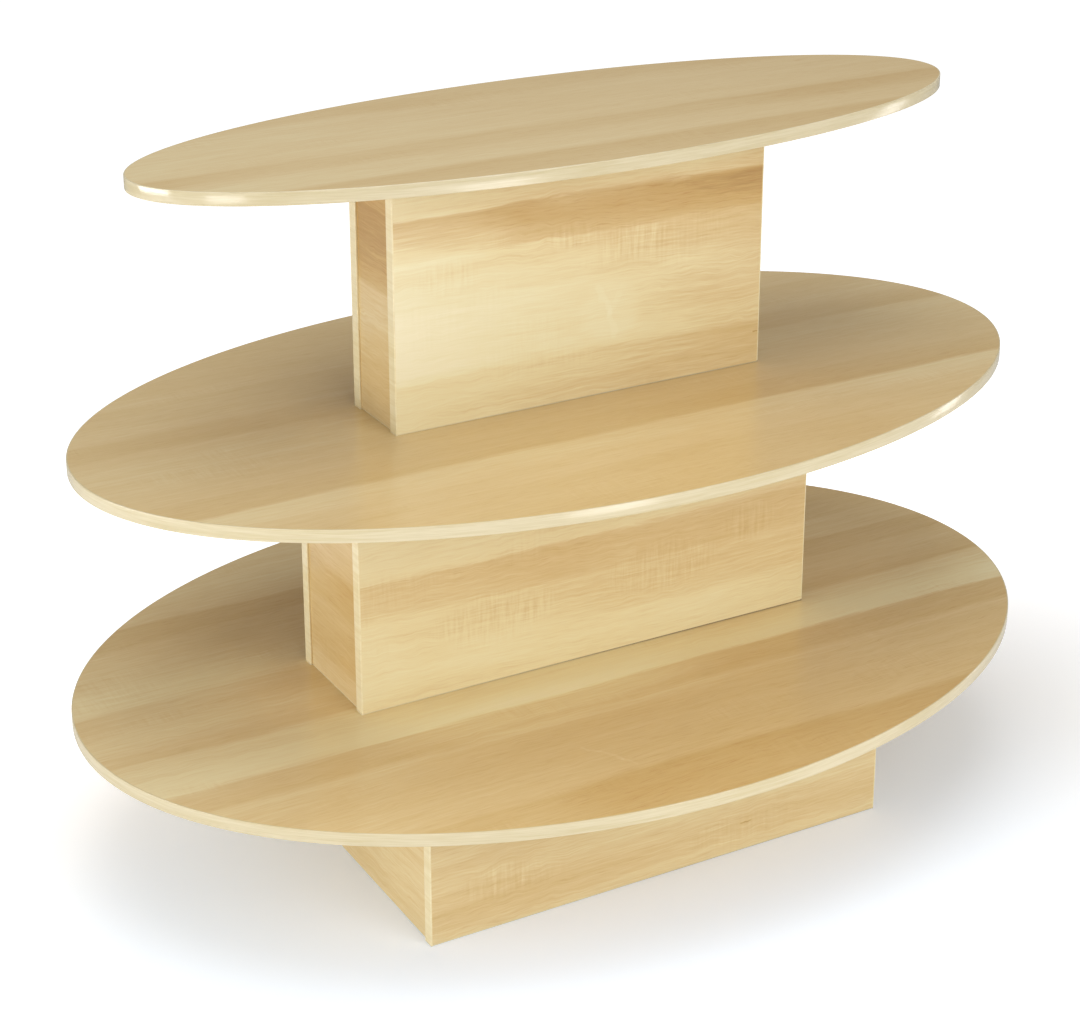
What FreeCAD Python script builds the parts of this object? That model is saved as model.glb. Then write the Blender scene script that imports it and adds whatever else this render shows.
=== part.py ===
import FreeCAD, Part
import math
import os
import Sketcher

# Three-tier oval display table, flat-packed: three oval boards carried by a plinth and two hollow risers.
# Millimetres, +Z up, +X along the ovals. The origin is on the floor, under the middle of the table.
# Each hollow box (plinth or riser) has two long panels, front (-Y) and rear, that cover the edges of
# two end panels set between them. Cam locks and dowels join the four. Cleats inside hold the shelf
# above, and screws through the shelf below hold the box down.

SIZES = {
    # Melamine board and the plastic banding on its edges
    "board_thickness": 19.05,
    "band_thickness": 2.0,
    "band_rounding": 1.0,
    # Oval shelves, banding included
    "bottom_shelf_length": 1524.0,
    "bottom_shelf_width": 1066.8,
    "middle_shelf_length": 1498.6,
    "middle_shelf_width": 863.6,
    "top_shelf_length": 1304.9,
    "top_shelf_width": 457.2,
    # Plinth and risers, banding included
    "base_length": 766.0,
    "base_depth": 616.0,
    "base_height": 247.65,
    "middle_riser_length": 766.0,
    "middle_riser_depth": 196.8,
    "middle_riser_height": 387.35,
    "upper_riser_length": 609.6,
    "upper_riser_depth": 136.5,
    "upper_riser_height": 387.35,
    # How far an end panel's face lies behind the banded ends of the long panels
    "end_panel_inset": 3.0,
    # Play between a fitting and its bore, on the diameter, and at the blind end of a bore
    "bore_play": 0.2,
    "bore_end_gap": 0.5,
    # Cam lock: a drum in the end panel, centred a backset from the joint. Its mouth for the bolt is
    # measured from the drum's blind end.
    "cam_diameter": 15.0,
    "cam_height": 13.5,
    "cam_mouth_to_end": 4.0,
    "cam_backset": 24.0,
    "cam_to_panel_edge": 60.0,
    "cam_overrun": 3.0,
    "cam_slot_length": 9.0,
    "cam_slot_width": 1.8,
    "cam_slot_depth": 2.5,
    # Bolt that stands in the long panel and is drawn in by the cam
    "bolt_thread_diameter": 5.0,
    "bolt_thread_length": 11.0,
    "bolt_shank_diameter": 6.0,
    "bolt_neck_diameter": 4.0,
    "bolt_neck_length": 3.0,
    "bolt_head_length": 3.0,
    # Beech dowel beside each cam
    "dowel_diameter": 8.0,
    "dowel_in_face": 10.0,
    "dowel_in_edge": 20.0,
    "dowel_chamfer": 1.0,
    "dowel_to_cam": 32.0,
    # Softwood cleat along the inside top of a panel
    "cleat_thickness": 12.7,
    "cleat_height": 38.1,
    "cleat_end_gap": 2.0,
    # Pan-head screws through the cleats
    "cleat_screw_diameter": 4.0,
    "cleat_screw_head_diameter": 8.0,
    "cleat_screw_head_height": 2.6,
    "cleat_screw_bite": 12.0,
    "cleat_screw_to_end": 40.0,
    "cleat_screw_stagger": 25.0,
    # Countersunk screws up through a shelf into the riser above it
    "riser_screw_diameter": 5.0,
    "riser_screw_head_height": 2.5,
    "riser_screw_bite": 31.0,
    "riser_screw_to_end": 70.0,
    # Cone at the tip of every screw
    "screw_tip_length": 3.0,
}

LONG_PANEL_SCREWS = 4
SHORT_PANEL_SCREWS = 3

BOARD = "Sizes.board_thickness"
BAND = "Sizes.band_thickness"
INSET = "Sizes.end_panel_inset"
PLAY = "Sizes.bore_play"
END_GAP = "Sizes.bore_end_gap"
MID_BOARD = f"{BOARD} / 2"

# Quarter turns about +Z that bring a panel's own frame to its side of the box
TURNS = {"front": 0, "right": 90, "rear": 180, "left": 270}
LONG_SIDES = ("front", "rear")
END_SIDES = ("left", "right")

doc = FreeCAD.newDocument("display_table")
sheet = doc.addObject("Spreadsheet::Sheet", "Sizes")
for row, (name, number) in enumerate(SIZES.items(), start=1):
    sheet.set(f"A{row}", name)
    sheet.set(f"B{row}", str(number))
    sheet.setAlias(f"B{row}", name)
doc.recompute()

pieces = []


# ---------------------------------------------------------------- helpers


def value(expression):
    """The number that an expression of sheet cells has now."""
    return float(sheet.evalExpression(expression))


def piece(part, label):
    """Marks an object as a sub-part of the table, under the name of its file."""
    part.Label = label
    pieces.append(part)
    return part


def body(name):
    return doc.addObject("PartDesign::Body", name)


def sketch_on(owner, name, plane, offset="0"):
    """A sketch on one of the body's origin planes, moved along the plane's normal."""
    sketch = owner.newObject("Sketcher::SketchObject", name)
    support = next(item for item in owner.Origin.OriginFeatures if item.Role == plane)
    sketch.AttachmentSupport = [(support, "")]
    sketch.MapMode = "FlatFace"
    sketch.setExpression(".AttachmentOffset.Base.z", offset)
    return sketch


def bind(sketch, constraint, expression):
    index = sketch.addConstraint(constraint)
    sketch.setExpression(f"Constraints[{index}]", expression)


def pin(sketch, geometry, point, x, y):
    """Holds a point of the sketch at two expressions, measured from the sketch's origin."""
    bind(sketch, Sketcher.Constraint("DistanceX", -1, 1, geometry, point, value(x)), x)
    bind(sketch, Sketcher.Constraint("DistanceY", -1, 1, geometry, point, value(y)), y)


def polygon(sketch, points):
    corners = [FreeCAD.Vector(value(x), value(y), 0) for x, y in points]
    lines = [
        sketch.addGeometry(Part.LineSegment(start, end))
        for start, end in zip(corners, corners[1:] + corners[:1])
    ]
    for line, following in zip(lines, lines[1:] + lines[:1]):
        sketch.addConstraint(Sketcher.Constraint("Coincident", line, 2, following, 1))
    for line, (x, y) in zip(lines, points):
        pin(sketch, line, 1, x, y)


def rectangle(sketch, left, right, bottom, top):
    polygon(sketch, [(left, bottom), (right, bottom), (right, top), (left, top)])


def circle(sketch, x, y, diameter):
    centre = FreeCAD.Vector(value(x), value(y), 0)
    normal = FreeCAD.Vector(0, 0, 1)
    ring = sketch.addGeometry(Part.Circle(centre, normal, value(diameter) / 2))
    pin(sketch, ring, 3, x, y)
    bind(sketch, Sketcher.Constraint("Diameter", ring, value(diameter)), diameter)


def oval(sketch, length, width):
    """An ellipse about the sketch's origin, held by its two axes."""
    half_length, half_width = value(length) / 2, value(width) / 2
    curve = sketch.addGeometry(Part.Ellipse(FreeCAD.Vector(), half_length, half_width))
    sketch.exposeInternalGeometry(curve)
    major_axis, minor_axis = curve + 1, curve + 2
    sketch.addConstraint(Sketcher.Constraint("Coincident", curve, 3, -1, 1))
    sketch.addConstraint(Sketcher.Constraint("Horizontal", major_axis))
    bind(sketch, Sketcher.Constraint("Distance", major_axis, 2 * half_length), length)
    bind(sketch, Sketcher.Constraint("Distance", minor_axis, 2 * half_width), width)


def pad(owner, sketch, length):
    """Solid from the sketch, along its plane's normal."""
    feature = owner.newObject("PartDesign::Pad", sketch.Name + "_pad")
    feature.Profile = sketch
    feature.setExpression("Length", length)
    doc.recompute()
    return feature


def cut(owner, sketch, depth, along_normal):
    """Pocket from the sketch, along its plane's normal or against it."""
    feature = owner.newObject("PartDesign::Pocket", sketch.Name + "_cut")
    feature.Profile = sketch
    feature.setExpression("Length", depth)
    feature.Reversed = along_normal
    doc.recompute()
    return feature


def round_edges(owner, feature, radius, wanted):
    """Fillets the edges of the feature that the test picks."""
    edges = enumerate(feature.Shape.Edges, start=1)
    names = [f"Edge{number}" for number, edge in edges if wanted(edge.BoundBox)]
    fillet = owner.newObject("PartDesign::Fillet", feature.Name + "_round")
    fillet.Base = (feature, names)
    fillet.setExpression("Radius", radius)
    doc.recompute()
    return fillet


def turned(name, outline):
    """A body turned about its Y axis. The outline is (radius, place along Y), first and last on the axis."""
    owner = body(name)
    profile = sketch_on(owner, name + "_profile", "XY_Plane")
    polygon(profile, outline)
    feature = owner.newObject("PartDesign::Revolution", name + "_turned")
    feature.Profile = profile
    feature.ReferenceAxis = (profile, ["V_Axis"])
    feature.Angle = 360
    doc.recompute()
    return owner


def compound(name, members):
    group = doc.addObject("Part::Compound", name)
    group.Links = members
    return group


def place(part, x, y, z, rotation):
    part.Placement = FreeCAD.Placement(FreeCAD.Vector(), rotation)
    for axis, expression in (("x", x), ("y", y), ("z", z)):
        part.setExpression(f".Placement.Base.{axis}", expression)


def copies(name, part, spots):
    """Copies of a fitting at a list of (x, y, z, rotation), as one compound."""
    links = []
    for number, spot in enumerate(spots, start=1):
        link = doc.addObject("App::Link", f"{name}_{number}")
        link.LinkedObject = part
        place(link, *spot)
        links.append(link)
    return compound(name, links)


def row_of(count, half_span):
    """Places of evenly spaced screws, from minus half_span to plus half_span."""
    return [f"({half_span}) * {2 * index / (count - 1) - 1}" for index in range(count)]


STRAIGHT = FreeCAD.Rotation()
HALF_TURN = FreeCAD.Rotation(FreeCAD.Vector(0, 1, 0), 180)
POINT_UP = FreeCAD.Rotation(FreeCAD.Vector(1, 0, 0), -90)


# ---------------------------------------------------------------- fittings, each made once

CAM_DIAMETER = "Sizes.cam_diameter"
CAM_BORE_DEPTH = f"Sizes.cam_height + {END_GAP}"
CAM_MOUTH_DEPTH = "(Sizes.cam_height - Sizes.cam_mouth_to_end)"
BOLT_THREAD = "Sizes.bolt_thread_diameter"
BOLT_BORE = f"Sizes.bolt_shank_diameter + {PLAY}"
DOWEL_BORE = f"Sizes.dowel_diameter + {PLAY}"
CLEAT_SCREW = "Sizes.cleat_screw_diameter"
RISER_SCREW = "Sizes.riser_screw_diameter"


def make_cam():
    """Cam drum. Its axis is Y, its slotted face is at y = 0, and its mouth for the bolt opens to +X."""
    owner = body("cam")
    drum = sketch_on(owner, "cam_drum", "XZ_Plane")
    circle(drum, "0", "0", f"{CAM_DIAMETER} - {PLAY}")
    pad(owner, drum, "Sizes.cam_height")
    mouth = sketch_on(owner, "cam_mouth", "YZ_Plane", "-Sizes.cam_overrun")
    circle(mouth, f"-{CAM_MOUTH_DEPTH}", "0", BOLT_BORE)
    cut(owner, mouth, f"Sizes.cam_overrun + {CAM_DIAMETER}", True)
    half_length, half_width = "Sizes.cam_slot_length / 2", "Sizes.cam_slot_width / 2"
    for name, half_x, half_z in (
        ("cam_slot", half_length, half_width),
        ("cam_cross_slot", half_width, half_length),
    ):
        slot = sketch_on(owner, name, "XZ_Plane")
        rectangle(slot, f"-{half_x}", half_x, f"-{half_z}", half_z)
        cut(owner, slot, "Sizes.cam_slot_depth", True)
    return owner


def make_bolt():
    """Cam bolt. Thread from y = 0 down to -Y in the long panel, shank and head up +Y to the cam."""
    head_end = "Sizes.cam_backset + Sizes.cam_overrun / 2"
    neck_end = f"{head_end} - Sizes.bolt_head_length"
    shank_end = f"{neck_end} - Sizes.bolt_neck_length"
    outline = [
        ("0", "-Sizes.bolt_thread_length"),
        (f"{BOLT_THREAD} / 2", "-Sizes.bolt_thread_length"),
        (f"{BOLT_THREAD} / 2", "0"),
        ("Sizes.bolt_shank_diameter / 2", "0"),
        ("Sizes.bolt_shank_diameter / 2", shank_end),
        ("Sizes.bolt_neck_diameter / 2", shank_end),
        ("Sizes.bolt_neck_diameter / 2", neck_end),
        ("Sizes.bolt_shank_diameter / 2", neck_end),
        ("Sizes.bolt_shank_diameter / 2", head_end),
        ("0", head_end),
    ]
    return turned("cam_bolt", outline)


def make_dowel():
    """Dowel across the joint at y = 0, deeper in the end panel's edge (+Y) than in the long panel."""
    radius = "Sizes.dowel_diameter / 2"
    tip_radius = f"{radius} - Sizes.dowel_chamfer"
    outline = [
        ("0", "-Sizes.dowel_in_face"),
        (tip_radius, "-Sizes.dowel_in_face"),
        (radius, "Sizes.dowel_chamfer - Sizes.dowel_in_face"),
        (radius, "Sizes.dowel_in_edge - Sizes.dowel_chamfer"),
        (tip_radius, "Sizes.dowel_in_edge"),
        ("0", "Sizes.dowel_in_edge"),
    ]
    return turned("dowel", outline)


def make_screw(name, diameter, reach, head):
    """Screw that points to -Y from its seat at y = 0. The head is its outline from the axis to the shank."""
    shank_end = f"Sizes.screw_tip_length - ({reach})"
    tip = [("0", f"-({reach})"), (f"{diameter} / 2", shank_end)]
    return turned(name, tip + head)


def pan_head():
    edge = "Sizes.cleat_screw_head_diameter / 2"
    height = "Sizes.cleat_screw_head_height"
    return [
        (f"{CLEAT_SCREW} / 2", "0"),
        (edge, "0"),
        (edge, f"{height} / 2"),
        (f"{edge} - {height} / 2", height),
        ("0", height),
    ]


def countersunk_head():
    """45-degree head that ends flush with the face at y = 0."""
    height = "Sizes.riser_screw_head_height"
    return [
        (f"{RISER_SCREW} / 2", f"-{height}"),
        (f"{RISER_SCREW} / 2 + {height}", "0"),
        ("0", "0"),
    ]


cam = make_cam()
cam_bolt = make_bolt()
dowel = make_dowel()
panel_screw = make_screw(
    "panel_screw", CLEAT_SCREW, "Sizes.cleat_thickness + Sizes.cleat_screw_bite", pan_head()
)
shelf_screw = make_screw(
    "shelf_screw", CLEAT_SCREW, "Sizes.cleat_height + Sizes.cleat_screw_bite", pan_head()
)
riser_screw = make_screw(
    "riser_screw", RISER_SCREW, f"{BOARD} + Sizes.riser_screw_bite", countersunk_head()
)


# ---------------------------------------------------------------- plinth and risers


class Box:
    """The plinth or a riser. Each side has its own frame: X along the panel, from its middle, Z up from
    the box's lower edge, and the panel's inner face at y = 0, with the inside of the box at +Y."""

    def __init__(self, name, floor, screws, cleat_sides, screwed_down):
        self.name = name
        self.length = f"Sizes.{name}_length"
        self.depth = f"Sizes.{name}_depth"
        self.height = f"Sizes.{name}_height"
        self.floor = floor
        self.screws = screws
        self.cleat_sides = cleat_sides
        self.screwed_down = screwed_down
        self.cam_heights = ("Sizes.cam_to_panel_edge", f"{self.height} - Sizes.cam_to_panel_edge")
        self.dowel_heights = (
            f"{self.cam_heights[0]} + Sizes.dowel_to_cam",
            f"{self.cam_heights[1]} - Sizes.dowel_to_cam",
        )

    def reach(self, side):
        """From the middle of the box to the panel's inner face."""
        if side in LONG_SIDES:
            return f"({self.depth} / 2 - {BOARD})"
        return f"({self.length} / 2 - {INSET} - {BOARD})"

    def half_width(self, side):
        """Half of a panel's width, banding included."""
        if side in LONG_SIDES:
            return f"({self.length} / 2)"
        return f"({self.depth} / 2 - {BOARD})"

    def ends(self, depth):
        """Both places along a long panel that lie this deep in the end panels, from their inner faces."""
        place = f"({self.reach('right')} + {depth})"
        return f"-{place}", place

    def half_cleat(self, side):
        """Half of a cleat's length. End cleats stop at the long ones."""
        if side in LONG_SIDES:
            return f"({self.reach('right')} - Sizes.cleat_end_gap)"
        return f"({self.reach('rear')} - Sizes.cleat_thickness - Sizes.cleat_end_gap)"

    def cleat_screw_places(self, side):
        """Along the panel: the screws into it. Those up into the shelf stand beside them."""
        return row_of(self.screws, f"{self.half_cleat(side)} - Sizes.cleat_screw_to_end")

    def riser_screw_places(self):
        return row_of(self.screws, f"{self.length} / 2 - Sizes.riser_screw_to_end")

    def stand(self, part, side):
        """Brings a part from its side's frame to the box."""
        angle = math.radians(TURNS[side])
        out_x, out_y = round(math.sin(angle)), -round(math.cos(angle))
        rotation = FreeCAD.Rotation(FreeCAD.Vector(0, 0, 1), TURNS[side])
        place(part, f"{out_x} * {self.reach(side)}", f"{out_y} * {self.reach(side)}", self.floor, rotation)
        return part

    def seen_from_above(self, side, along, inward):
        """A point of a side's frame as x and y of the table."""
        angle = math.radians(TURNS[side])
        cosine, sine = round(math.cos(angle)), round(math.sin(angle))
        out = f"({self.reach(side)} - ({inward}))"
        return f"{cosine} * ({along}) + {sine} * {out}", f"{sine} * ({along}) - {cosine} * {out}"


def bore(owner, name, plane, offset, spots, diameter, depth, along_normal):
    """Blind round holes at a list of (x, y) of a plane."""
    sketch = sketch_on(owner, f"{owner.Name}_{name}", plane, offset)
    for x, y in spots:
        circle(sketch, x, y, diameter)
    return cut(owner, sketch, depth, along_normal)


def riser_screw_bores(box, owner):
    spots = [(x, f"-{MID_BOARD}") for x in box.riser_screw_places()]
    depth = f"Sizes.riser_screw_bite + {END_GAP}"
    bore(owner, "riser_screws", "XY_Plane", "0", spots, f"{RISER_SCREW} + {PLAY}", depth, True)


def board_of(box, side, half_width):
    """A plain panel board, without its banding."""
    owner = body(f"{box.name}_{side}_panel")
    outline = sketch_on(owner, owner.Name + "_outline", "XZ_Plane")
    rectangle(outline, f"-{half_width}", half_width, BAND, box.height)
    pad(owner, outline, BOARD)
    return owner


def long_panel(box, side):
    owner = board_of(box, side, f"({box.half_width(side)} - {BAND})")
    bolts = [(x, z) for x in box.ends(CAM_MOUTH_DEPTH) for z in box.cam_heights]
    dowels = [(x, z) for x in box.ends(MID_BOARD) for z in box.dowel_heights]
    bolt_depth = f"Sizes.bolt_thread_length + {END_GAP}"
    dowel_depth = f"Sizes.dowel_in_face + {END_GAP}"
    bore(owner, "bolts", "XZ_Plane", "0", bolts, f"{BOLT_THREAD} + {PLAY}", bolt_depth, True)
    bore(owner, "dowels", "XZ_Plane", "0", dowels, DOWEL_BORE, dowel_depth, True)
    if box.screwed_down:
        riser_screw_bores(box, owner)
    return owner


def end_panel(box, side):
    half_width = box.half_width(side)
    owner = board_of(box, side, half_width)
    cam_place = f"({half_width} - Sizes.cam_backset)"
    cams = [(x, z) for x in (f"-{cam_place}", cam_place) for z in box.cam_heights]
    bore(owner, "cams", "XZ_Plane", "0", cams, CAM_DIAMETER, CAM_BORE_DEPTH, True)
    bolts = [(f"-{CAM_MOUTH_DEPTH}", z) for z in box.cam_heights]
    dowels = [(f"-{MID_BOARD}", z) for z in box.dowel_heights]
    dowel_depth = f"Sizes.dowel_in_edge + {END_GAP}"
    for edge, offset, along_normal in (("left", f"-{half_width}", True), ("right", half_width, False)):
        bolt_spec = (offset, bolts, BOLT_BORE, "Sizes.cam_backset", along_normal)
        dowel_spec = (offset, dowels, DOWEL_BORE, dowel_depth, along_normal)
        bore(owner, edge + "_bolts", "YZ_Plane", *bolt_spec)
        bore(owner, edge + "_dowels", "YZ_Plane", *dowel_spec)
    return owner


def cleat_screw_bores(box, side, owner):
    """Pilot holes for the screws that come through the cleat."""
    middle = f"{box.height} - Sizes.cleat_height / 2"
    spots = [(x, middle) for x in box.cleat_screw_places(side)]
    depth = f"Sizes.cleat_screw_bite + {END_GAP}"
    bore(owner, "cleat_screws", "XZ_Plane", "0", spots, f"{CLEAT_SCREW} + {PLAY}", depth, True)


def strip(name, left, right, bottom, top, outer_edge):
    """A strip of banding across the board's thickness, with its two outer edges rounded."""
    owner = body(name)
    outline = sketch_on(owner, name + "_outline", "XZ_Plane")
    rectangle(outline, left, right, bottom, top)
    feature = pad(owner, outline, BOARD)
    round_edges(owner, feature, "Sizes.band_rounding", outer_edge)
    return owner


def panel_bands(box, side):
    """The banding of one panel: its lower edge, and on a long panel also both upright ends."""
    name = f"{box.name}_{side}"
    half_width = box.half_width(side)
    inner = f"({half_width} - {BAND})" if side in LONG_SIDES else half_width

    def along_bottom(bounds):
        return bounds.ZMax < 1e-6 and bounds.YLength < 1e-6

    lower = strip(name + "_lower_band", f"-{inner}", inner, "0", BAND, along_bottom)
    if side in LONG_SIDES and box.screwed_down:
        riser_screw_bores(box, lower)
    strips = [lower]
    if side in LONG_SIDES:
        limit = value(half_width) - 1e-6

        def outer_upright(bounds):
            return bounds.XLength < 1e-6 and bounds.YLength < 1e-6 and abs(bounds.XMin) > limit

        for end, left, right in (("left", f"-{half_width}", f"-{inner}"), ("right", inner, half_width)):
            strips.append(strip(f"{name}_{end}_band", left, right, "0", box.height, outer_upright))
    return compound(name + "_bands", strips)


def make_cleat(box, side):
    """Batten under the shelf, drilled for the screws into the panel and for those into the shelf."""
    owner = body(f"{box.name}_{side}_cleat")
    outline = sketch_on(owner, owner.Name + "_outline", "XZ_Plane", "-Sizes.cleat_thickness")
    half = box.half_cleat(side)
    rectangle(outline, f"-{half}", half, f"{box.height} - Sizes.cleat_height", box.height)
    pad(owner, outline, "Sizes.cleat_thickness")
    places = box.cleat_screw_places(side)
    middle = f"{box.height} - Sizes.cleat_height / 2"
    across = [(x, middle) for x in places]
    upright = [(f"{x} + Sizes.cleat_screw_stagger", "Sizes.cleat_thickness / 2") for x in places]
    hole = f"{CLEAT_SCREW} + {PLAY}"
    bore(owner, "panel_screws", "XZ_Plane", "0", across, hole, "Sizes.cleat_thickness", False)
    bore(owner, "shelf_screws", "XY_Plane", box.height, upright, hole, "Sizes.cleat_height", False)
    return owner


def make_box(box):
    for side in LONG_SIDES + END_SIDES:
        panel = long_panel(box, side) if side in LONG_SIDES else end_panel(box, side)
        if side in box.cleat_sides:
            cleat_screw_bores(box, side, panel)
        piece(box.stand(panel, side), f"{box.name}_{side}_panel")
        piece(box.stand(panel_bands(box, side), side), f"{box.name}_{side}_bands")
    for side in box.cleat_sides:
        piece(box.stand(make_cleat(box, side), side), f"{box.name}_{side}_cleat")
    make_box_fittings(box)


def make_box_fittings(box):
    """The fittings of one box, each kind one node: copies on each side, in that side's frame."""
    cam_place = f"({box.half_width('left')} - Sizes.cam_backset)"
    cam_spots = [(cam_place, "0", z, STRAIGHT) for z in box.cam_heights]
    cam_spots += [(f"-{cam_place}", "0", z, HALF_TURN) for z in box.cam_heights]
    bolt_spots = [(x, "0", z, STRAIGHT) for x in box.ends(CAM_MOUTH_DEPTH) for z in box.cam_heights]
    dowel_spots = [(x, "0", z, STRAIGHT) for x in box.ends(MID_BOARD) for z in box.dowel_heights]
    kinds = [
        ("cam_locks", cam, END_SIDES, lambda side: cam_spots),
        ("cam_bolts", cam_bolt, LONG_SIDES, lambda side: bolt_spots),
        ("dowels", dowel, LONG_SIDES, lambda side: dowel_spots),
        ("cleat_screws", panel_screw, box.cleat_sides, lambda side: panel_screw_spots(box, side)),
        ("shelf_screws", shelf_screw, box.cleat_sides, lambda side: shelf_screw_spots(box, side)),
    ]
    if box.screwed_down:
        kinds.append(("riser_screws", riser_screw, LONG_SIDES, lambda side: riser_screw_spots(box)))
    for kind, part, sides, spots_on in kinds:
        name = f"{box.name}_{kind}"
        groups = [box.stand(copies(f"{name}_{side}", part, spots_on(side)), side) for side in sides]
        piece(compound(name, groups), name)


def panel_screw_spots(box, side):
    middle = f"{box.height} - Sizes.cleat_height / 2"
    return [(x, "Sizes.cleat_thickness", middle, STRAIGHT) for x in box.cleat_screw_places(side)]


def shelf_screw_spots(box, side):
    seat = f"{box.height} - Sizes.cleat_height"
    places = [f"{x} + Sizes.cleat_screw_stagger" for x in box.cleat_screw_places(side)]
    return [(x, "Sizes.cleat_thickness / 2", seat, POINT_UP) for x in places]


def riser_screw_spots(box):
    """Their seats are on the underside of the shelf that the riser stands on."""
    return [(x, f"-{MID_BOARD}", f"-{BOARD}", POINT_UP) for x in box.riser_screw_places()]


# ---------------------------------------------------------------- shelves


def make_shelf(name, floor, box_below, box_above):
    """Oval board with its underside at floor, drilled for the boxes below and above it."""
    length, width = f"Sizes.{name}_length", f"Sizes.{name}_width"
    core_length, core_width = f"({length} - 2 * {BAND})", f"({width} - 2 * {BAND})"
    shelf = body(name)
    outline = sketch_on(shelf, name + "_outline", "XY_Plane")
    oval(outline, core_length, core_width)
    pad(shelf, outline, BOARD)
    pilots = [
        box_below.seen_from_above(side, f"{x} + Sizes.cleat_screw_stagger", "Sizes.cleat_thickness / 2")
        for side in box_below.cleat_sides
        for x in box_below.cleat_screw_places(side)
    ]
    depth = f"Sizes.cleat_screw_bite + {END_GAP}"
    bore(shelf, "pilots", "XY_Plane", "0", pilots, f"{CLEAT_SCREW} + {PLAY}", depth, True)
    if box_above:
        drill_for_riser(shelf, box_above)
    place(shelf, "0", "0", floor, STRAIGHT)
    piece(shelf, name)
    piece(make_shelf_band(name, length, width, core_length, core_width, floor), name + "_band")


def drill_for_riser(shelf, riser):
    """Through holes for the riser's screws, countersunk from below."""
    hole = f"{RISER_SCREW} + {PLAY}"
    spots = [
        riser.seen_from_above(side, x, f"-{MID_BOARD}")
        for side in LONG_SIDES
        for x in riser.riser_screw_places()
    ]
    feature = bore(shelf, "riser_screws", "XY_Plane", "0", spots, hole, BOARD, True)
    bore_width = value(hole)
    edges = enumerate(feature.Shape.Edges, start=1)
    rims = [
        f"Edge{number}"
        for number, edge in edges
        if edge.BoundBox.ZMax < 1e-6 and abs(edge.BoundBox.XLength - bore_width) < 1e-3
    ]
    chamfer = shelf.newObject("PartDesign::Chamfer", shelf.Name + "_countersinks")
    chamfer.Base = (feature, rims)
    chamfer.setExpression("Size", "Sizes.riser_screw_head_height")
    doc.recompute()


def make_shelf_band(name, length, width, core_length, core_width, floor):
    """The banding round a shelf: one strip, with its two outer edges rounded."""
    owner = body(name + "_band")
    outline = sketch_on(owner, name + "_band_outline", "XY_Plane")
    oval(outline, length, width)
    oval(outline, core_length, core_width)
    feature = pad(owner, outline, BOARD)
    limit = value(length) - 1e-3
    round_edges(owner, feature, "Sizes.band_rounding", lambda bounds: bounds.XLength > limit)
    place(owner, "0", "0", floor, STRAIGHT)
    return owner


# ---------------------------------------------------------------- the table

BOTTOM_SHELF_Z = "Sizes.base_height"
MIDDLE_RISER_Z = f"{BOTTOM_SHELF_Z} + {BOARD}"
MIDDLE_SHELF_Z = f"{MIDDLE_RISER_Z} + Sizes.middle_riser_height"
UPPER_RISER_Z = f"{MIDDLE_SHELF_Z} + {BOARD}"
TOP_SHELF_Z = f"{UPPER_RISER_Z} + Sizes.upper_riser_height"

base = Box("base", "0", LONG_PANEL_SCREWS, LONG_SIDES + END_SIDES, False)
middle_riser = Box("middle_riser", MIDDLE_RISER_Z, LONG_PANEL_SCREWS, LONG_SIDES, True)
upper_riser = Box("upper_riser", UPPER_RISER_Z, SHORT_PANEL_SCREWS, LONG_SIDES, True)

for hollow_box in (base, middle_riser, upper_riser):
    make_box(hollow_box)
make_shelf("bottom_shelf", BOTTOM_SHELF_Z, base, middle_riser)
make_shelf("middle_shelf", MIDDLE_SHELF_Z, middle_riser, upper_riser)
make_shelf("top_shelf", TOP_SHELF_Z, upper_riser, None)
doc.recompute()


def check(objects, sub_parts):
    """Stops before anything is written if a feature failed, cut nothing or left a bad shape."""
    for item in objects:
        if {"Invalid", "Error"} & set(item.State):
            raise RuntimeError(f"{item.Name} failed: {item.State}")
        if item.TypeId == "PartDesign::Pocket":
            if item.Shape.Volume > item.BaseFeature.Shape.Volume - 1e-3:
                raise RuntimeError(f"{item.Name} cut nothing")
    for part in sub_parts:
        if part.Shape.isNull() or not part.Shape.isValid() or not part.Shape.Solids:
            raise RuntimeError(f"{part.Label} has no valid solid")


check(doc.Objects, pieces)
os.makedirs("parts", exist_ok=True)
for part in pieces:
    solids = part.Shape.Solids
    shape = solids[0] if len(solids) == 1 else Part.makeCompound(solids)
    shape.exportStep(f"parts/{part.Label}.step")
print(f"{len(pieces)} nodes, {sum(len(part.Shape.Solids) for part in pieces)} solids")
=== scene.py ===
"""Three-tier oval display table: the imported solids, dressed with smooth shelves, banding and finishes."""

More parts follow.
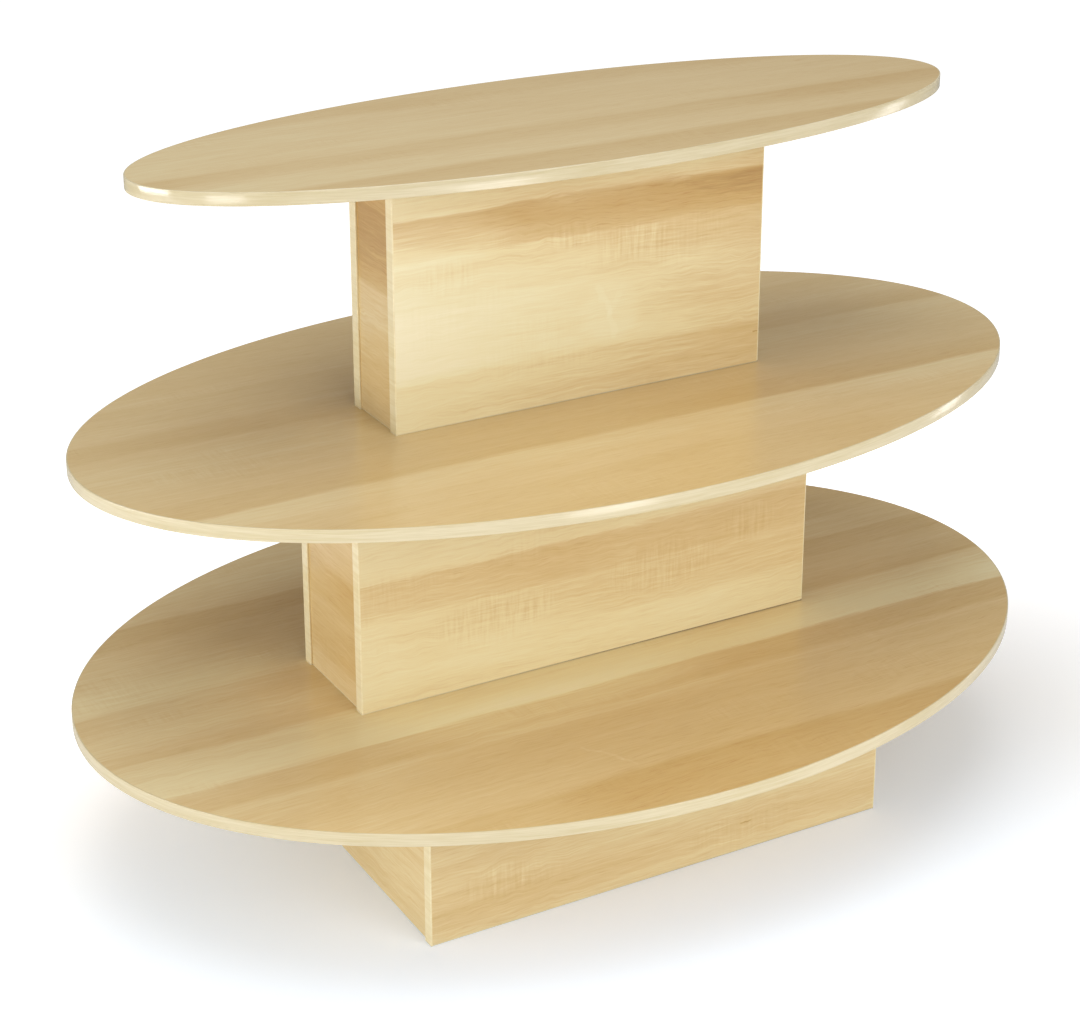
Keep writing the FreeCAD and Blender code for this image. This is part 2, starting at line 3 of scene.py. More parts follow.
import bmesh
import bpy
import math
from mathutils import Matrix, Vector


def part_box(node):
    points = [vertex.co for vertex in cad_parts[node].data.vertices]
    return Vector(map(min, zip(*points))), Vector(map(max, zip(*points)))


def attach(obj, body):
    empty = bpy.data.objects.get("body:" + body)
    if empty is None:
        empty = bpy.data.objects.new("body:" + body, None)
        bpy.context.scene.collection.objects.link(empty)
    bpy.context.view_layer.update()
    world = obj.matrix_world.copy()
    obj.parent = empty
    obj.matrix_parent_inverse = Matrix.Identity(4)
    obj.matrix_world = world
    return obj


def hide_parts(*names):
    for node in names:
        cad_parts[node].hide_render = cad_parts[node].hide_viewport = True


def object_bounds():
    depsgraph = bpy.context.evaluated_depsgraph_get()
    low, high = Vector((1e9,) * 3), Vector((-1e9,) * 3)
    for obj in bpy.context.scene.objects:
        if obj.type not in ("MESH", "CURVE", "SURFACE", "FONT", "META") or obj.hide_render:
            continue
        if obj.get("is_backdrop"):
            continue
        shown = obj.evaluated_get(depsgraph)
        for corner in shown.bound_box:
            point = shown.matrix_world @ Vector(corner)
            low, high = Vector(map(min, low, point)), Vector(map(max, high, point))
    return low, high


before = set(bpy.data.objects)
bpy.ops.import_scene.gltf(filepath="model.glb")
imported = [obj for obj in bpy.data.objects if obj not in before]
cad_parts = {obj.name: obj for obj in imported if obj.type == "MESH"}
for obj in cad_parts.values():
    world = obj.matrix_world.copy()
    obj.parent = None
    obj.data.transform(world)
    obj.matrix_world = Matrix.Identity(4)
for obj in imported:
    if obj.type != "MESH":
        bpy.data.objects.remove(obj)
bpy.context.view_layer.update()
bpy.ops.object.select_all(action="DESELECT")

MM = 0.001
SHELVES = ("bottom_shelf", "middle_shelf", "top_shelf")
BOXES = ("base", "middle_riser", "upper_riser")
LONG_SIDES = ("front", "rear")
END_SIDES = ("left", "right")


# ---------------------------------------------------------------- shader wrapper

# Sockets of a Mix node that mixes colours
COLOUR_MIX_SHARE, COLOUR_MIX_FIRST, COLOUR_MIX_SECOND = 0, 6, 7
COLOUR_MIX_RESULT = 2


class Value:
    """A number that varies over a surface. Python's operators on it add Math nodes."""

    def __init__(self, finish, socket):
        self.finish = finish
        self.socket = socket

    def math(self, operation, *operands):
        inputs = dict(enumerate(operands))
        return self.finish.node("ShaderNodeMath", {"operation": operation}, inputs)["Value"]

    def __add__(self, other):
        return self.math("ADD", self, other)

    def __sub__(self, other):
        return self.math("SUBTRACT", self, other)

    def __rsub__(self, other):
        return self.math("SUBTRACT", other, self)

    def __mul__(self, other):
        return self.math("MULTIPLY", self, other)

    def __truediv__(self, other):
        return self.math("DIVIDE", self, other)

    def __rtruediv__(self, other):
        return self.math("DIVIDE", other, self)

    def __gt__(self, other):
        return self.math("GREATER_THAN", self, other)

    __radd__ = __add__
    __rmul__ = __mul__

    def absolute(self):
        return self.math("ABSOLUTE", self)

    def clamped(self):
        return self.math("MINIMUM", self.math("MAXIMUM", self, 0.0), 1.0)

    def smooth_step(self, low, high):
        """0 below low and 1 above high, with a smooth change between them."""
        share = ((self - low) / (high - low)).clamped()
        return share * share * (3 - 2 * share)


class Outputs:
    """A new node's outputs, by name."""

    def __init__(self, finish, node):
        self.finish = finish
        self.node = node

    def __getitem__(self, name):
        return Value(self.finish, self.node.outputs[name])


class Finish:
    """The nodes of a material or of the world, under construction."""

    def __init__(self, owner):
        self.owner = owner
        owner.use_nodes = True
        self.tree = owner.node_tree
        self.tree.nodes.clear()

    def node(self, kind, settings=None, inputs=None):
        """Adds a node with its settings, and then the values or links of its sockets."""
        node = self.tree.nodes.new(kind)
        for name, setting in (settings or {}).items():
            if name == "stops":
                self.set_stops(node.color_ramp.elements, setting)
            else:
                setattr(node, name, setting)
        for name, value in (inputs or {}).items():
            if isinstance(value, Value):
                self.tree.links.new(value.socket, node.inputs[name])
            else:
                node.inputs[name].default_value = value
        return Outputs(self, node)

    @staticmethod
    def set_stops(elements, stops):
        """Gives a ramp its stops, each a place from 0 to 1 with a colour or a level of grey."""
        while len(elements) > 1:
            elements.remove(elements[-1])
        for number, (place, colour) in enumerate(stops):
            stop = elements[0] if number == 0 else elements.new(place)
            stop.position = place
            stop.color = (*colour, 1.0) if isinstance(colour, tuple) else (colour, colour, colour, 1.0)

    def place(self):
        """The point's x, y and z on the table, in metres."""
        point = self.node("ShaderNodeTexCoord")["Object"]
        axes = self.node("ShaderNodeSeparateXYZ", inputs={"Vector": point})
        return axes["X"], axes["Y"], axes["Z"]

    def vector(self, x, y, z):
        return self.node("ShaderNodeCombineXYZ", inputs={"X": x, "Y": y, "Z": z})["Vector"]

    def noise(self, point, detail=2.0, roughness=0.5, distortion=0.0):
        """Noise from 0 to 1 at a point that is already scaled."""
        inputs = {
            "Vector": point,
            "Scale": 1.0,
            "Detail": detail,
            "Roughness": roughness,
            "Distortion": distortion,
        }
        return self.node("ShaderNodeTexNoise", inputs=inputs)["Fac"]

    def mottle(self, scales, detail=2.0, roughness=0.5, distortion=0.0):
        """Noise from 0 to 1 that changes so many times per metre along x, y and z."""
        point = self.vector(*(axis * scale for axis, scale in zip(self.place(), scales)))
        return self.noise(point, detail, roughness, distortion)

    def ramp(self, stops, place):
        """The colour between stops, at a place from 0 to 1."""
        return self.node("ShaderNodeValToRGB", {"stops": stops}, {"Fac": place})["Color"]

    def mix(self, share, first, second):
        """The first colour where the share is 0 and the second where it is 1."""
        colours = {COLOUR_MIX_SHARE: share, COLOUR_MIX_FIRST: first, COLOUR_MIX_SECOND: second}
        node = self.node("ShaderNodeMix", {"data_type": "RGBA"}, colours).node
        return Value(self, node.outputs[COLOUR_MIX_RESULT])

    def surface(self, inputs, relief, relief_height):
        """Ends the material in a Principled shader, with a relief as high as given, in metres."""
        heights = {"Height": relief, "Distance": relief_height, "Strength": 1.0}
        normal = self.node("ShaderNodeBump", inputs=heights)["Normal"]
        shader = self.node("ShaderNodeBsdfPrincipled", inputs={**inputs, "Normal": normal})["BSDF"]
        self.node("ShaderNodeOutputMaterial", inputs={"Surface": shader})
        return self.owner


def new_finish(name):
    """A finish for a new material of this name."""
    return Finish(bpy.data.materials.new(name))


def oval_distance(x, y, middle, reach):
    """The square of the distance from an oval's middle, where 1 is on the oval itself."""
    aside, away = (x - middle[0]) / reach[0], (y - middle[1]) / reach[1]
    return aside * aside + away * away


def rgb(red, green, blue):
    """A colour given as it looks on a screen, 0 to 255, in the linear values that shaders take."""

    def linear(level):
        share = level / 255
        return share / 12.92 if share <= 0.04045 else ((share + 0.055) / 1.055) ** 2.4

    return linear(red), linear(green), linear(blue)


# ---------------------------------------------------------------- finishes

# The print's colours, evenly spaced from the palest tone to the darkest
PALEST, DARKEST = -0.25, 1.25
MAPLE_COLOURS = [
    rgb(246, 237, 203),
    rgb(241, 231, 190),
    rgb(236, 220, 173),
    rgb(225, 200, 149),
    rgb(215, 186, 130),
    rgb(206, 172, 111),
    rgb(186, 150, 93),
]
MAPLE_STOPS = [(number / (len(MAPLE_COLOURS) - 1), colour) for number, colour in enumerate(MAPLE_COLOURS)]
PORE_BROWN = (*rgb(183, 126, 74), 1)
CHIPBOARD_STOPS = [(0.3, rgb(176, 146, 104)), (0.5, rgb(199, 171, 128)), (0.75, rgb(214, 190, 148))]
CHIPS_PER_METRE = 300

# A face counts as sawn when it points along the axis of the raw edge by more than this share
SAWN = 0.7

# The print's kinds of grain: changes per metre along and across the board, a start of its own in the noise,
# and the noise's detail and roughness. Through the board they all change alike.
GRAINS = {
    "lean": (1.7, 3.0, 4.3, 1.0, 0.5),
    "curl": (24.0, 30.0, 13.7, 2.0, 0.5),
    "curly_places": (5.0, 13.0, 9.1, 1.0, 0.5),
    "stripe_wander": (3.1, 6.0, 3.1, 2.0, 0.5),
    "stripe_fray": (9.0, 160.0, 37.3, 2.0, 0.5),
    "stripe_strength": (2.2, 7.0, 71.6, 1.0, 0.5),
    "clouds": (2.4, 5.0, 17.9, 2.0, 0.5),
    "streaks": (2.6, 46.0, 21.3, 3.0, 0.6),
    "fine_streaks": (8.0, 190.0, 27.7, 2.0, 0.5),
    "fine_lines": (24.0, 520.0, 31.9, 2.0, 0.6),
    "ripples": (230.0, 20.0, 61.8, 2.0, 0.5),
    "rippled_places": (4.4, 15.0, 57.4, 1.0, 0.5),
    "shake": (45.0, 45.0, 83.3, 2.0, 0.5),
    "pores": (34.0, 900.0, 47.2, 1.0, 0.5),
}
GRAIN_THROUGH_BOARD = 40.0

# The levels of noise between which each of these comes in
CURLY, STRONG_STRIPES, RIPPLED, PORES = (0.42, 0.62), (0.30, 0.62), (0.56, 0.70), (0.57, 0.72)

# How far the grain leans and curls, how far the stripes' edges wander and fray, and how far single lines
# shake, all in mm
LEAN, STRONG_CURL, SLIGHT_CURL = 35.0, 14.0, 4.0
STRIPE_WANDER, STRIPE_FRAY = 12.0, 14.0
LINE_SHAKE = 16.0

# How much each kind of grain changes the tone
CLOUD_DEPTH, STREAK_DEPTH, FINE_STREAK_DEPTH, FINE_LINE_DEPTH = 0.24, 0.20, 0.22, 0.30
RIPPLE_DEPTH = 0.40

# How strong the stripes are where they are weakest, and the ripples in places of their own
WEAK_STRIPES, WEAK_RIPPLES = 0.50, 0.50

# Pores come in between these tones, and hide this much of the print's colour
PORED_TONES, PORE_STRENGTH = (0.25, 0.85), 0.30


class Board:
    """Places on a board in metres: along from its left or front end, down from its rear or upper edge."""

    def __init__(self, finish, long_axis, wide_axis, corner, seed):
        self.finish = finish
        self.seed = seed
        axes = dict(zip("xyz", finish.place()))
        thin_axis = next(axis for axis in "xyz" if axis not in (long_axis, wide_axis))
        self.along = axes[long_axis] - getattr(corner, long_axis)
        self.down = getattr(corner, wide_axis) - axes[wide_axis]
        self.through = axes[thin_axis]

        # The grain's own lines lean, and curl in places
        curly = self.grain("curly_places").smooth_step(*CURLY)
        curl = (self.grain("curl") - 0.5) * (curly * STRONG_CURL + SLIGHT_CURL)
        lean = (self.grain("lean") - 0.5) * LEAN
        self.line = self.down + (lean + curl) * MM

    def grain(self, kind, down=None):
        """One kind of grain, from 0 to 1, straight along the board unless it is given other lines."""
        along_scale, down_scale, start, detail, roughness = GRAINS[kind]
        down = self.down if down is None else down
        point = self.finish.vector(
            self.along * along_scale + (self.seed + start),
            down * down_scale + start,
            self.through * GRAIN_THROUGH_BOARD,
        )
        return self.finish.noise(point, detail, roughness)

    def spot(self, middle, half):
        """1 at a soft oval's middle and 0 outside it, with the oval in mm."""
        middle, half = [size * MM for size in middle], [size * MM for size in half]
        return 1 - oval_distance(self.along, self.down, middle, half).smooth_step(0.15, 1.0)

    def stroke(self, start, end, half_width):
        """1 along a short, shaky line and 0 beside it, with the line in mm."""
        shake = (self.grain("shake") - 0.5) * (LINE_SHAKE * MM)
        run, drop = (end[0] - start[0]) * MM, (end[1] - start[1]) * MM
        from_start = self.along + shake - start[0] * MM
        below_start = self.down - shake - start[1] * MM
        share = ((from_start * run + below_start * drop) / (run * run + drop * drop)).clamped()
        beside, off = from_start - share * run, below_start - share * drop
        return 1 - ((beside * beside + off * off) / (half_width * MM) ** 2).smooth_step(0.0, 1.0)


def stripe_tone(board, stripes):
    """The tone of the print's broad stripes, which run along the board and are stronger in places."""
    wander = (board.grain("stripe_wander") - 0.5) * STRIPE_WANDER
    fray = (board.grain("stripe_fray", board.line) - 0.5) * STRIPE_FRAY
    width = stripes[-1][0]
    stops = [(place / width, tone) for place, tone in stripes]
    stripe = board.finish.ramp(stops, (board.down + (wander + fray) * MM) / (width * MM))
    strong = board.grain("stripe_strength").smooth_step(*STRONG_STRIPES)
    strength = strong * (1 - WEAK_STRIPES) + WEAK_STRIPES
    return (stripe - 0.5) * strength + 0.5


def ripple_tone(board, ripples):
    """The change of tone by ripples, which stand across the grain in the given places and a few others."""
    rippled = board.grain("rippled_places").smooth_step(*RIPPLED) * WEAK_RIPPLES
    for middle, half in ripples:
        rippled = rippled + board.spot(middle, half)
    return (board.grain("ripples") - 0.5) * rippled * RIPPLE_DEPTH


def mark_tone(board, lines, patches):
    """The change of tone by single lines and patches."""
    tone = 0.0
    for start, end, half_width, change in lines:
        tone = board.stroke(start, end, half_width) * change + tone
    for middle, half, change in patches:
        tone = board.spot(middle, half) * change + tone
    return tone


def maple_print(name, board_place, stripes, seed, shade_slant, contrast, marks, raw_edge=None):
    """Maple-print melamine on one board.

    The board's place is its long and its wide axis, the corner where it starts on both, and its length.
    The stripes are (mm from the board's rear or upper edge, tone), where tone 0 is pale and 1 is dark.
    A raw edge is the axis across which the board shows sawn chipboard.
    """
    finish = new_finish(name)
    long_axis, wide_axis, corner, length = board_place
    board = Board(finish, long_axis, wide_axis, corner, seed)

    clouds = board.grain("clouds") - 0.5
    streaks = board.grain("streaks", board.line) - 0.5
    fine_streaks = board.grain("fine_streaks", board.line) - 0.5
    fine_lines = board.grain("fine_lines", board.line) - 0.5
    grain_tone = clouds * CLOUD_DEPTH + streaks * STREAK_DEPTH
    grain_tone = grain_tone + fine_streaks * FINE_STREAK_DEPTH + fine_lines * FINE_LINE_DEPTH

    # The slant is painted shade: the tone darkens along the board towards its right end.
    tone = stripe_tone(board, stripes) + (board.along - length / 2) * shade_slant + grain_tone * contrast
    tone = tone + ripple_tone(board, marks.get("ripples", ()))
    tone = tone + mark_tone(board, marks.get("lines", ()), marks.get("patches", ()))

    colour = finish.ramp(MAPLE_STOPS, (tone - PALEST) / (DARKEST - PALEST))
    pores = board.grain("pores", board.line).smooth_step(*PORES)
    pores = pores * tone.smooth_step(*PORED_TONES) * PORE_STRENGTH
    colour = finish.mix(pores, colour, PORE_BROWN)
    roughness = 0.22 + clouds * 0.05 + pores * 0.1

    if raw_edge:
        normal = finish.node("ShaderNodeTexCoord")["Normal"]
        direction = finish.node("ShaderNodeSeparateXYZ", inputs={"Vector": normal})
        sawn = direction[raw_edge].absolute() > SAWN
        chips = finish.mottle((CHIPS_PER_METRE,) * 3, detail=3.0)
        colour = finish.mix(sawn, colour, finish.ramp(CHIPBOARD_STOPS, chips))
        roughness = roughness + sawn * 0.5
    inputs = {"Base Color": colour, "Roughness": roughness, "IOR": 1.5}
    return finish.surface(inputs, relief=fine_lines + pores, relief_height=0.05 * MM)


# Painted shade: the colour and height of the dark line at a box's foot, where its panels meet the shelf or
# floor below.
FOOT_SHADE_BROWN = (*rgb(98, 66, 24), 1)
FOOT_SHADE_HEIGHT = 0.9 * MM

# The painted shade line at a box's foot, where its panels meet the shelf or floor below, is faint left of
# the first x, in metres, and full right of the second. The last number is its share of the full strength
# where it is faint.
FOOT_SHADE_RANGE, FAINT_FOOT_SHADE = (-0.45, 0.20), 0.15


def banding(name, pale, deep, foot=None, foot_shade=0.0):
    """Nearly glossy plastic banding with a faint print of fine grain, and a painted shade line at any foot.
    """
    finish = new_finish(name)
    fine = finish.mottle((22, 22, 620))
    broad = finish.mottle((5, 5, 130))
    colour = finish.ramp([(0.3, pale), (0.7, deep)], (fine - 0.5) * 0.9 + broad)
    if foot is not None:
        x, _, z = finish.place()
        share = x.smooth_step(*FOOT_SHADE_RANGE) * (1 - FAINT_FOOT_SHADE) + FAINT_FOOT_SHADE
        # Painted shade: a thin dark line just above the foot, fuller towards +x.
        in_foot_shade = (foot + FOOT_SHADE_HEIGHT) - z > 0.0
        colour = finish.mix(in_foot_shade * share * foot_shade, colour, FOOT_SHADE_BROWN)
    waves = finish.mottle((9, 9, 9), detail=1.0)
    inputs = {"Base Color": colour, "Roughness": 0.13 + fine * 0.06, "IOR": 1.62}
    return finish.surface(inputs, relief=waves + fine * 0.02, relief_height=0.6 * MM)


def raw_wood(name, pale, dark):
    """Planed, unfinished wood with its grain along x and y."""
    finish = new_finish(name)
    rings = finish.mottle((5, 5, 160), detail=3.0, distortion=0.4)
    fibres = finish.mottle((60, 60, 1400))
    colour = finish.ramp([(0.3, pale), (0.7, dark)], rings * 0.75 + fibres * 0.25)
    inputs = {"Base Color": colour, "Roughness": 0.62 + fibres * 0.2}
    return finish.surface(inputs, relief=fibres, relief_height=0.2 * MM)


def metal(name, colour, roughness, clouds_per_metre):
    """Plated or cast metal, clouded by wear and handling."""
    finish = new_finish(name)
    cloud = finish.mottle((clouds_per_metre,) * 3, detail=4.0, roughness=0.65)
    dull = tuple(level * 0.72 for level in colour)
    shade = finish.ramp([(0.35, dull), (0.65, colour)], cloud)
    inputs = {"Base Color": shade, "Metallic": 1.0, "Roughness": roughness + cloud * 0.25}
    return finish.surface(inputs, relief=cloud, relief_height=0.05 * MM)


# Stripes of each shelf, in mm from its rear edge, and of each panel, in mm down from its upper edge
STRIPES = {
    "bottom_shelf": [
        (0, 0.60), (100, 0.50), (195, 0.52), (205, 0.80), (250, 0.80), (262, 0.66), (375, 0.58),
        (385, 0.48), (443, 0.46), (450, 0.68), (500, 0.62), (507, 0.54), (545, 0.47), (602, 0.64),
        (610, 0.36), (645, 0.26), (680, 0.06), (708, 0.08), (715, 0.62), (765, 0.70), (776, 0.54),
        (784, 0.42), (795, 0.54), (880, 0.60), (952, 0.66), (960, 0.92), (1066, 0.92),
    ],
    "middle_shelf": [
        (0, 0.50), (60, 0.62), (140, 0.56), (208, 0.50), (218, 0.62), (260, 0.54), (310, 0.48),
        (328, 0.62), (378, 0.70), (387, 0.46), (430, 0.44), (500, 0.51), (560, 0.58), (571, 0.70),
        (624, 0.80), (633, 0.38), (660, 0.40), (700, 0.56), (727, 0.62), (734, 0.74), (790, 0.74),
        (864, 0.80),
    ],
    "top_shelf": [
        (0, 0.64), (60, 0.74), (90, 0.56), (232, 0.52), (247, 0.58), (255, 0.82), (288, 0.78),
        (318, 0.52), (366, 0.48), (380, 0.74), (457, 0.62),
    ],
    "upper_riser_front": [
        (0, 0.42), (73, 0.40), (78, 1.0), (95, 0.96), (120, 0.76), (132, 0.66), (138, 0.42),
        (165, 0.34), (205, 0.14), (230, 0.04), (300, 0.03), (314, 0.16), (320, 0.36), (345, 0.30),
        (358, 0.36), (387, 0.28),
    ],
    # Partly print and partly painted shade: the darkest tones at the upper end stand for the top shelf's
    # shadow.
    "upper_riser_left": [
        (0, 1.30), (70, 1.10), (78, 1.25), (150, 1.10), (182, 0.90), (190, 0.52), (225, 0.45),
        (282, 0.50), (294, 0.56), (330, 0.66), (387, 0.50),
    ],
    "upper_riser_rear": [
        (0, 0.50), (92, 0.54), (98, 0.22), (180, 0.14), (262, 0.20), (270, 0.72), (330, 0.62),
        (387, 0.44),
    ],
    "upper_riser_right": [(0, 0.30), (120, 0.34), (128, 0.70), (200, 0.80), (208, 0.44), (387, 0.50)],
    "middle_riser_front": [
        (0, 0.34), (184, 0.30), (190, 0.56), (225, 0.56), (245, 0.48), (252, 0.32), (280, 0.34),
        (318, 0.24), (338, 0.14), (387, 0.18),
    ],
    # Partly print and partly painted shade: the darker upper end stands in part for the shadow of the shelf
    # above.
    "middle_riser_left": [
        (0, 0.68), (150, 0.66), (178, 0.66), (196, 0.72), (206, 0.90), (246, 1.0), (262, 0.84),
        (300, 0.78), (335, 0.86), (358, 0.58), (387, 0.50),
    ],
    "middle_riser_rear": [
        (0, 0.30), (70, 0.34), (78, 0.74), (142, 0.62), (150, 0.28), (300, 0.20), (308, 0.52),
        (387, 0.60),
    ],
    "middle_riser_right": [
        (0, 0.66), (96, 0.58), (104, 0.28), (228, 0.36), (236, 0.80), (310, 0.70), (318, 0.46),
        (387, 0.40),
    ],
    "base_front": [
        (0, 0.45), (150, 0.38), (168, 0.40), (176, 0.48), (204, 0.56), (226, 0.50), (230, 0.40),
        (248, 0.38),
    ],
    "base_left": [(0, 0.46), (80, 0.46), (180, 0.34), (192, 0.40), (248, 0.40)],
    "base_rear": [(0, 0.60), (64, 0.52), (72, 0.24), (170, 0.32), (178, 0.66), (248, 0.56)],
    "base_right": [(0, 0.40), (110, 0.46), (118, 0.72), (190, 0.64), (198, 0.40), (248, 0.44)],
}

# Painted shade: the change of tone along a board's length, per metre, where there is one; darker towards
# the right end, where the light falls off
SHADE_SLANTS = {"bottom_shelf": 0.08, "top_shelf": 0.14, "upper_riser_front": 0.85, "middle_riser_front": 0.28}

# How strongly the grain shows
SHELF_CONTRASTS = {"bottom_shelf": 0.95, "middle_shelf": 0.85, "top_shelf": 0.75}
PANEL_CONTRAST = 1.35

# Single marks in a board's print, in mm along and down from its corner; the bottom shelf's two patches are
# painted light instead. Ripples are given by the middle and half the size of their places, lines by start,
# end, half the width and change of tone, and patches by the middle, half the size and change of tone.
MARKS = {
    "bottom_shelf": {
        "lines": [((606, 864), (642, 916), 3.5, -0.10), ((642, 916), (650, 940), 3.0, -0.08)],
        # Painted reflection: the first patch is a paler place where the lit riser shows in the shelf.
        # Painted light: the second is paler at the far left, where more light falls.
        "patches": [((640, 736), (330, 60), -0.24), ((140, 400), (230, 170), -0.14)],
    },
    "upper_riser_front": {
        "ripples": [((385, 158), (75, 34)), ((285, 136), (55, 24)), ((80, 168), (65, 34))],
        "lines": [
            ((326, 222), (345, 260), 7.5, -0.09),
            ((362, 236), (347, 262), 7.0, -0.05),
            ((346, 264), (353, 298), 7.5, -0.08),
            ((597, 337), (604, 337), 1.6, 0.6),
        ],
        "patches": [
            ((50, 112), (170, 50), -0.30),
            ((530, 30), (320, 56), -0.26),
            ((345, 262), (60, 55), -0.10),
        ],
    },
    "middle_riser_front": {
        "ripples": [((215, 285), (120, 52)), ((505, 266), (125, 50)), ((660, 225), (60, 40))],
    },
    "base_front": {
        "ripples": [((110, 175), (80, 34))],
        "lines": [((518, 201), (536, 200), 1.3, 0.5)],
    },
}

# Starts in the noise, so that no two boards have the same grain
SHELF_SEED, SHELF_SEED_STEP = 10.0, 7.3
PANEL_SEED, BOX_SEED_STEP, SIDE_SEED_STEP = 40.0, 11.1, 3.7

# How dark the painted shade line is where a box's panels meet the shelf or floor below
FOOT_SHADES = {"base": 0.3, "middle_riser": 0.75, "upper_riser": 0.4}


# ---------------------------------------------------------------- modelling helpers

OVAL_SIDES = 288
BAND_ROUNDING = 1.0 * MM
SMOOTH_BELOW = math.radians(35)

# A countersunk screw's head, and the cone that cuts its seat: its radii at the underside and inside, its
# depth, and the height of its middle above the underside
SCREW_HEAD_RADIUS = 5.0 * MM
SEAT_RADIUS, SEAT_INNER_RADIUS = 5.3 * MM, 2.7 * MM
SEAT_DEPTH, SEAT_MIDDLE = 2.6 * MM, 1.25 * MM
SEAT_SIDES = 48

# Points nearer than this are one point
SAME_PLACE = 0.05 * MM


def middle_and_half(node):
    """The middle of a node's box and half its size."""
    low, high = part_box(node)
    return (low + high) / 2, (high - low) / 2


def edit(thing):
    """Opens a piece in edit mode, with nothing else selected."""
    bpy.ops.object.select_all(action="DESELECT")
    bpy.context.view_layer.objects.active = thing
    thing.select_set(True)
    bpy.ops.object.mode_set(mode="EDIT")


def pick_edges(thing, wanted):
    """Selects, in edit mode, the edges that the test picks."""
    bpy.ops.mesh.select_all(action="DESELECT")
    mesh = bmesh.from_edit_mesh(thing.data)
    for edge in mesh.edges:
        edge.select_set(wanted(edge))
    mesh.select_flush_mode()
    bmesh.update_edit_mesh(thing.data)


def finish_piece(thing, name, node, material):
    """Names and dresses a piece that was in edit mode, and puts it on its body in the node's place."""
    bpy.ops.object.mode_set(mode="OBJECT")
    bpy.ops.object.transform_apply(location=True, rotation=True, scale=True)
    thing.name = name
    thing.data.materials.clear()
    thing.data.materials.append(material)
    bpy.ops.object.shade_smooth_by_angle(angle=SMOOTH_BELOW)
    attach(thing, "root")
    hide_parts(node)


def oval_wall(centre, half):
    """An oval line at the piece's underside, drawn up into a wall."""
    place = (centre.x, centre.y, centre.z - half.z)
    bpy.ops.mesh.primitive_circle_add(vertices=OVAL_SIDES, radius=1, location=place)
    thing = bpy.context.object
    thing.scale = (half.x, half.y, 1)
    bpy.ops.object.transform_apply(location=True, rotation=True, scale=True)
    edit(thing)
    bpy.ops.mesh.select_all(action="SELECT")
    bpy.ops.mesh.extrude_region_move(TRANSFORM_OT_translate={"value": (0, 0, 2 * half.z)})
    return thing


def sink_screws(board, node, count):
    """Countersinks in the board's underside for the node's screws: two rows of so many, evenly spaced."""
    low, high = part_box(node)
    first_x, row_length = low.x + SCREW_HEAD_RADIUS, high.x - low.x - 2 * SCREW_HEAD_RADIUS
    cutters = []
    for number in range(count):
        x = first_x + row_length * number / (count - 1)
        for y in (low.y + SCREW_HEAD_RADIUS, high.y - SCREW_HEAD_RADIUS):
            bpy.ops.mesh.primitive_cone_add(
                vertices=SEAT_SIDES,
                radius1=SEAT_RADIUS,
                radius2=SEAT_INNER_RADIUS,
                depth=SEAT_DEPTH,
                location=(x, y, low.z + SEAT_MIDDLE),
            )
            cutters.append(bpy.context.object)
    for cutter in cutters:
        cutter.select_set(True)
    bpy.ops.object.join()
    cutter = bpy.context.object
    bpy.context.view_layer.objects.active = board
    cut = board.modifiers.new("countersinks", "BOOLEAN")
    cut.object = cutter
    cut.operation = "DIFFERENCE"
    cut.solver = "EXACT"
    bpy.ops.object.modifier_apply(modifier=cut.name)
    bpy.data.objects.remove(cutter)


def make_shelf_board(name, material, screws=None):
    """An oval board, inside its banding. The screws are a node and how many of them stand in a row."""
    board = oval_wall(*middle_and_half(name))
    bpy.ops.mesh.select_all(action="DESELECT")
    bpy.ops.mesh.select_mode(type="EDGE")
    pick_edges(board, lambda edge: edge.is_boundary)
    bpy.ops.mesh.edge_face_add()
    bpy.ops.mesh.select_all(action="SELECT")
    bpy.ops.mesh.normals_make_consistent(inside=False)
    if screws:
        bpy.ops.object.mode_set(mode="OBJECT")
        sink_screws(board, *screws)
        edit(board)
    finish_piece(board, name + "_board", name, material)


def make_shelf_band(name, material):
    """Banding round a shelf: a strip bent to the oval, with its outer edges rounded."""
    centre, outer = middle_and_half(name + "_band")
    _, inner = middle_and_half(name)
    shrink = (inner.x / outer.x, inner.y / outer.y, 1)
    grow = (outer.x / inner.x, outer.y / inner.y, 1)
    band = oval_wall(centre, outer)
    bpy.ops.mesh.extrude_region_move()
    bpy.ops.transform.resize(value=shrink, center_override=centre)
    bpy.ops.mesh.extrude_region_move(TRANSFORM_OT_translate={"value": (0, 0, -2 * outer.z)})
    bpy.ops.mesh.extrude_region_move()
    bpy.ops.transform.resize(value=grow, center_override=centre)
    bpy.ops.mesh.select_all(action="SELECT")
    bpy.ops.mesh.remove_doubles(threshold=SAME_PLACE)
    bpy.ops.mesh.select_mode(type="EDGE")
    between = (outer.x + inner.x) / (2 * outer.x)

    def outer_edge(edge):
        """Picks the edges that run round the outer face, above and below."""
        ends = [vertex.co for vertex in edge.verts]
        level = abs(ends[0].z - ends[1].z) < SAME_PLACE
        return level and min(math.hypot(end.x / outer.x, end.y / outer.y) for end in ends) > between

    pick_edges(band, outer_edge)
    bpy.ops.mesh.bevel(offset=BAND_ROUNDING, segments=4, profile=0.5, affect="EDGES")
    bpy.ops.mesh.select_all(action="SELECT")
    bpy.ops.mesh.normals_make_consistent(inside=False)
    finish_piece(band, name + "_banding", name + "_band", material)


# ---------------------------------------------------------------- the table

shelf_band_finish = banding("shelf_banding", rgb(225, 212, 178), rgb(214, 199, 158))
softwood_finish = raw_wood("planed_softwood", rgb(226, 200, 154), rgb(202, 166, 116))
beech_finish = raw_wood("turned_beech", rgb(221, 187, 143), rgb(197, 155, 110))
zinc_finish = metal("cast_zinc", rgb(190, 190, 188), 0.35, 300)
steel_finish = metal("plated_steel", rgb(212, 210, 202), 0.22, 400)

